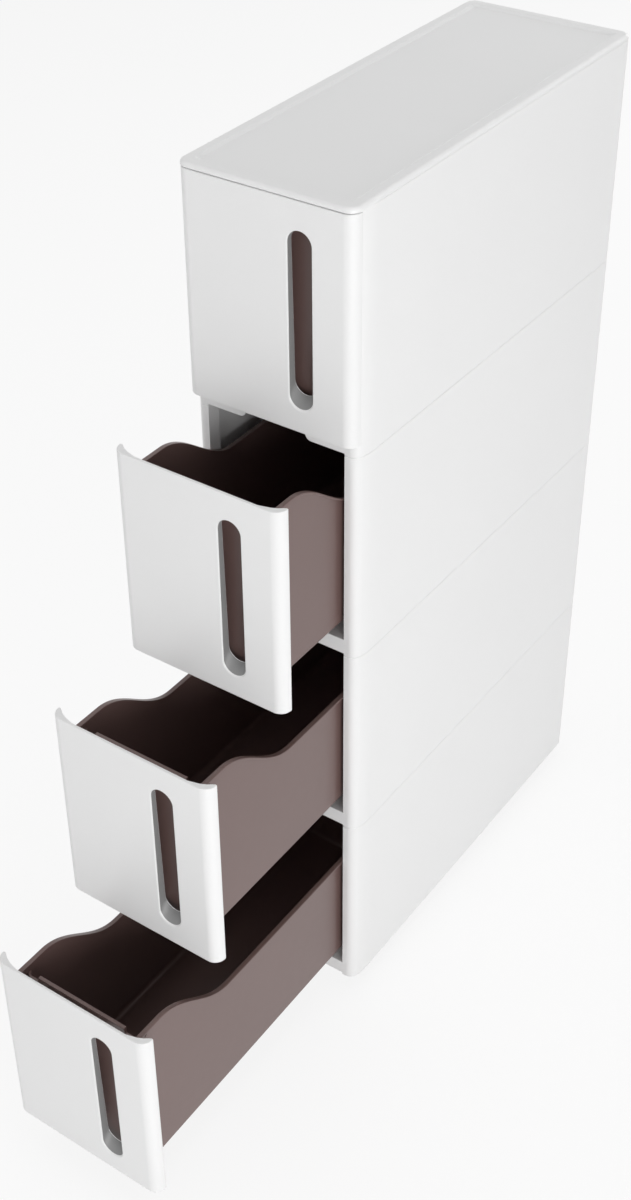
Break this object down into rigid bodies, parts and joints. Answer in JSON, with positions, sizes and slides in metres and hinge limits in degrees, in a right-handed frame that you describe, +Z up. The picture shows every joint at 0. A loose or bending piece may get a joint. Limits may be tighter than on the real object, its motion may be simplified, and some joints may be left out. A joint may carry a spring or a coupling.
{
  "type": "bathroom trolley",
  "caption": "Narrow household drawer tower on casters: stacked white tiers with pull-out bins behind wrapped fronts with upright handle slots, under a flat tray top.",
  "frame": {"origin": "on the floor, at the middle of the box round the trolley as it stands, drawers out in steps", "axes": "+Z up, -Y the way the drawers open, +X to the right of someone facing the drawer fronts"},
  "size_m": [0.17, 0.759, 0.8709],
  "materials": {
    "case_plastic": "satin white",
    "bin_plastic": "satin mauve-brown",
    "caster_nylon": "satin light grey",
    "wheel_rubber": "matt grey",
    "steel": "bright zinc"
  },
  "bodies": {
    "trolley": {"bottom_case": "case_plastic", "lower_case": "case_plastic", "upper_case": "case_plastic", "top_case": "case_plastic", "top_cover": "case_plastic", "front_left_caster_sleeve": "caster_nylon", "front_right_caster_sleeve": "caster_nylon", "rear_left_caster_sleeve": "caster_nylon", "rear_right_caster_sleeve": "caster_nylon"},
    "bottom_drawer": {"bottom_bin": "bin_plastic", "bottom_front": "case_plastic", "bottom_front_screws": "steel"},
    "lower_drawer": {"lower_bin": "bin_plastic", "lower_front": "case_plastic", "lower_front_screws": "steel"},
    "upper_drawer": {"upper_bin": "bin_plastic", "upper_front": "case_plastic", "upper_front_screws": "steel"},
    "top_drawer": {"top_bin": "bin_plastic", "top_front": "case_plastic", "top_front_screws": "steel"},
    "front_left_swivel": {"front_left_caster_stem": "steel", "front_left_caster_fork": "caster_nylon", "front_left_caster_axle": "steel"},
    "front_left_wheel": {"front_left_caster_wheel": "wheel_rubber"},
    "front_right_swivel": {"front_right_caster_stem": "steel", "front_right_caster_fork": "caster_nylon", "front_right_caster_axle": "steel"},
    "front_right_wheel": {"front_right_caster_wheel": "wheel_rubber"},
    "rear_left_swivel": {"rear_left_caster_stem": "steel", "rear_left_caster_fork": "caster_nylon", "rear_left_caster_axle": "steel"},
    "rear_left_wheel": {"rear_left_caster_wheel": "wheel_rubber"},
    "rear_right_swivel": {"rear_right_caster_stem": "steel", "rear_right_caster_fork": "caster_nylon", "rear_right_caster_axle": "steel"},
    "rear_right_wheel": {"rear_right_caster_wheel": "wheel_rubber"}
  },
  "joints": [
    {"name": "bottom_drawer_slide", "type": "slide", "parent": "trolley", "child": "bottom_drawer", "axis": [0, -1, 0], "range_m": [-0.306, 0.054]},
    {"name": "lower_drawer_slide", "type": "slide", "parent": "trolley", "child": "lower_drawer", "axis": [0, -1, 0], "range_m": [-0.205, 0.155]},
    {"name": "upper_drawer_slide", "type": "slide", "parent": "trolley", "child": "upper_drawer", "axis": [0, -1, 0], "range_m": [-0.101, 0.259]},
    {"name": "top_drawer_slide", "type": "slide", "parent": "trolley", "child": "top_drawer", "axis": [0, -1, 0], "range_m": [0, 0.36]},
    {"name": "front_left_swivel", "type": "hinge", "parent": "trolley", "child": "front_left_swivel", "pos_m": [-0.055, -0.0285, 0.033], "axis": [0, 0, 1], "continuous": true},
    {"name": "front_left_wheel_spin", "type": "hinge", "parent": "front_left_swivel", "child": "front_left_wheel", "pos_m": [-0.055, -0.0195, 0.012], "axis": [1, 0, 0], "continuous": true},
    {"name": "front_right_swivel", "type": "hinge", "parent": "trolley", "child": "front_right_swivel", "pos_m": [0.055, -0.0285, 0.033], "axis": [0, 0, 1], "continuous": true},
    {"name": "front_right_wheel_spin", "type": "hinge", "parent": "front_right_swivel", "child": "front_right_wheel", "pos_m": [0.055, -0.0195, 0.012], "axis": [1, 0, 0], "continuous": true},
    {"name": "rear_left_swivel", "type": "hinge", "parent": "trolley", "child": "rear_left_swivel", "pos_m": [-0.055, 0.3345, 0.033], "axis": [0, 0, 1], "continuous": true},
    {"name": "rear_left_wheel_spin", "type": "hinge", "parent": "rear_left_swivel", "child": "rear_left_wheel", "pos_m": [-0.055, 0.3435, 0.012], "axis": [1, 0, 0], "continuous": true},
    {"name": "rear_right_swivel", "type": "hinge", "parent": "trolley", "child": "rear_right_swivel", "pos_m": [0.055, 0.3345, 0.033], "axis": [0, 0, 1], "continuous": true},
    {"name": "rear_right_wheel_spin", "type": "hinge", "parent": "rear_right_swivel", "child": "rear_right_wheel", "pos_m": [0.055, 0.3435, 0.012], "axis": [1, 0, 0], "continuous": true}
  ]
}
